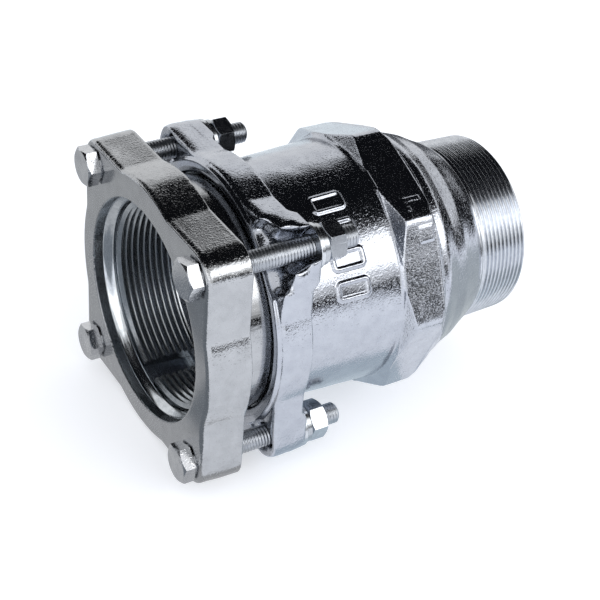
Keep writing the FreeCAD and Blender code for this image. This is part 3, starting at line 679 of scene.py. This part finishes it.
pale, tree = new_material("white paper sweep")
diffuse = add(tree, "ShaderNodeBsdfDiffuse", {"Color": linear("#e4e7ec")})
glow = add(tree, "ShaderNodeEmission", {"Color": (1, 1, 1, 1), "Strength": 0.42})
both = add(tree, "ShaderNodeAddShader", links={0: diffuse.outputs[0], 1: glow.outputs[0]})
mix = add(tree, "ShaderNodeMixShader",
          links={0: seen_directly(tree), 1: diffuse.outputs[0], 2: both.outputs[0]})
add(tree, "ShaderNodeOutputMaterial", links={"Surface": mix.outputs[0]})
sheet_of("floor", [(-3, -3, FLOOR_Z), (3, -3, FLOOR_Z), (3, 3, FLOOR_Z), (-3, 3, FLOOR_Z)], pale)

BLACK = "#141518"
STRIP_STRENGTH = 2.2
card("ceiling_card", BLACK,
     [(x, y, CEILING_Z) for x, y in [(-2.2, -0.25), (-0.9, -0.25), (-0.9, -0.62), (1.7, -0.62), (1.7, 0.78),
                                     (0.62, 0.78), (0.56, 1.15), (0.1, 1.6), (-2.2, 1.6)]])
card("front_card", BLACK,
     [(0.2, -1.6, -0.06), (1.22, -1.6, -0.06), (1.22, -1.6, 0.21), (0.2, -1.6, 0.21)])
card("left_card", BLACK,
     [(-2.2, 0.55, -0.06), (-2.2, 3.2, -0.06), (-2.2, 3.2, 0.9), (-2.2, 0.55, 0.9)])
card("left_strip", "#ffffff",
     [(-2.2, -1.6, 0.0), (-2.2, -0.15, 0.0), (-2.2, -0.15, 0.9), (-2.2, -1.6, 0.9)], STRIP_STRENGTH)
card("corner_strip", "#ffffff",
     [(-2.2, -1.6, 0.1), (-0.85, -1.6, 0.1), (-0.85, -1.6, 0.9), (-2.2, -1.6, 0.9)], STRIP_STRENGTH)
card("right_card", BLACK,
     [(2.2, -1.6, -0.06), (2.2, 1.5, -0.06), (2.2, 1.5, 0.52), (2.2, -1.6, 0.52)])
table_card("front_table_card", "#3a3c40", HIGH_CARD,
           [(0.1, -1.6), (2.1, -1.6), (2.1, -0.8), (0.1, -0.8)])
table_card("far_table_card", "#55585c", HIGH_CARD,
           [(0.23, 0.02), (2.1, 0.02), (2.1, 1.9), (1.32, 1.9), (0.23, 0.15)])
# Painted shade: the floor under the chamber, darker in reflections as if in the object's shadow.
table_card("painted_shade_under_chamber", "#cfdce6", LOW_CARD,
           [(0.04, -0.072), (0.125, -0.072), (0.125, 0.12), (0.04, 0.12)])
# Painted shade: the floor under the neck, darker in reflections as if in the object's shadow.
table_card("painted_shade_under_neck", "#ced5d8", LOW_CARD,
           [(0.165, -0.14), (0.6, -0.24), (0.6, 0.019), (0.165, 0.05)])
table_card("back_table_card", "#f1faff", LOW_CARD,
           [(-0.3, 0.82), (0.05, 0.82), (0.05, 0.3), (0.31, 0.28), (1.25, 1.79), (1.25, 2.5), (-0.3, 2.5)],
           1.04)
# Painted shadow: the floor to the left of the pressure flange, greyer in reflections as if in the object's
# shadow.
table_card("painted_shadow_left_of_flange", "#c5c7c9", LOW_CARD,
           [(-0.9, 0.1), (-0.05, 0.1), (-0.05, 0.07), (0.03, 0.07), (0.03, 0.8), (-0.9, 0.8)])
# Painted shadow: the floor at the pressure flange's foot, greyer in reflections as if in the object's shadow.
table_card("painted_shadow_at_flange_foot", "#c9cacc", LOW_CARD,
           [(-0.022, -0.07), (0.03, -0.07), (0.03, 0.07), (-0.05, 0.07), (-0.05, 0.02), (-0.022, 0.0)])
# Painted shade: a darker strip of floor in front of the pressure flange, as the entry reflects it, as if in
# the object's shadow.
table_card("painted_shade_before_entry", "#878d94", LOW_CARD,
           [(-0.5, -0.12), (-0.022, -0.09), (-0.022, 0.0), (-0.05, 0.02), (-0.05, 0.1), (-0.5, 0.1)])

lamp = bpy.data.lights.new("softbox", "AREA")
lamp.shape = "RECTANGLE"
lamp.size = 2.2
lamp.size_y = 0.7
lamp.energy = SOFTBOX_STRENGTH * 3.1416 * lamp.size * lamp.size_y
softbox = bpy.data.objects.new("softbox", lamp)
bpy.context.scene.collection.objects.link(softbox)
place = np.array([0.75, -1.25, 0.85])
aim = np.array([0.08, 0.0, 0.0])
back = (place - aim) / np.linalg.norm(place - aim)
right = np.cross([0, 0, 1], back)
right /= np.linalg.norm(right)
up = np.cross(back, right)
softbox.matrix_world = Matrix([[right[i], up[i], back[i], place[i]] for i in range(3)] + [[0, 0, 0, 1]])

world = bpy.data.worlds.new("white studio room")
bpy.context.scene.world = world
world.use_nodes = True
tree = world.node_tree
tree.nodes.clear()
room = add(tree, "ShaderNodeBackground", {"Color": linear("#eff0f4"), "Strength": 1.0})
white = add(tree, "ShaderNodeBackground", {"Color": (1, 1, 1, 1), "Strength": 1.0})
mix = add(tree, "ShaderNodeMixShader",
          links={0: seen_directly(tree), 1: room.outputs[0], 2: white.outputs[0]})
add(tree, "ShaderNodeOutputWorld", links={"Surface": mix.outputs[0]})

# Camera: in front of the pipe entry, to its right and above, with a long lens.
FOCAL_PX = 1417.0                            # fitted, for a picture 600 px wide
eye = (-0.221122, -0.456038, 0.367303)
axes = ((0.856993, -0.510268, 0.072038), (0.245012, 0.526435, 0.814147), (-0.453357, -0.680069, 0.576172))
camera_data = bpy.data.cameras.new("camera")
camera = bpy.data.objects.new("camera", camera_data)
bpy.context.scene.collection.objects.link(camera)
camera_data.sensor_width = 36.0
camera_data.lens = camera_data.sensor_width * FOCAL_PX / 600
camera_data.clip_start = 0.02
camera.matrix_world = Matrix([[axes[0][i], axes[1][i], axes[2][i], eye[i]] for i in range(3)]
                             + [[0, 0, 0, 1]])
bpy.context.scene.camera = camera
bpy.context.scene.view_settings.view_transform = "Standard"
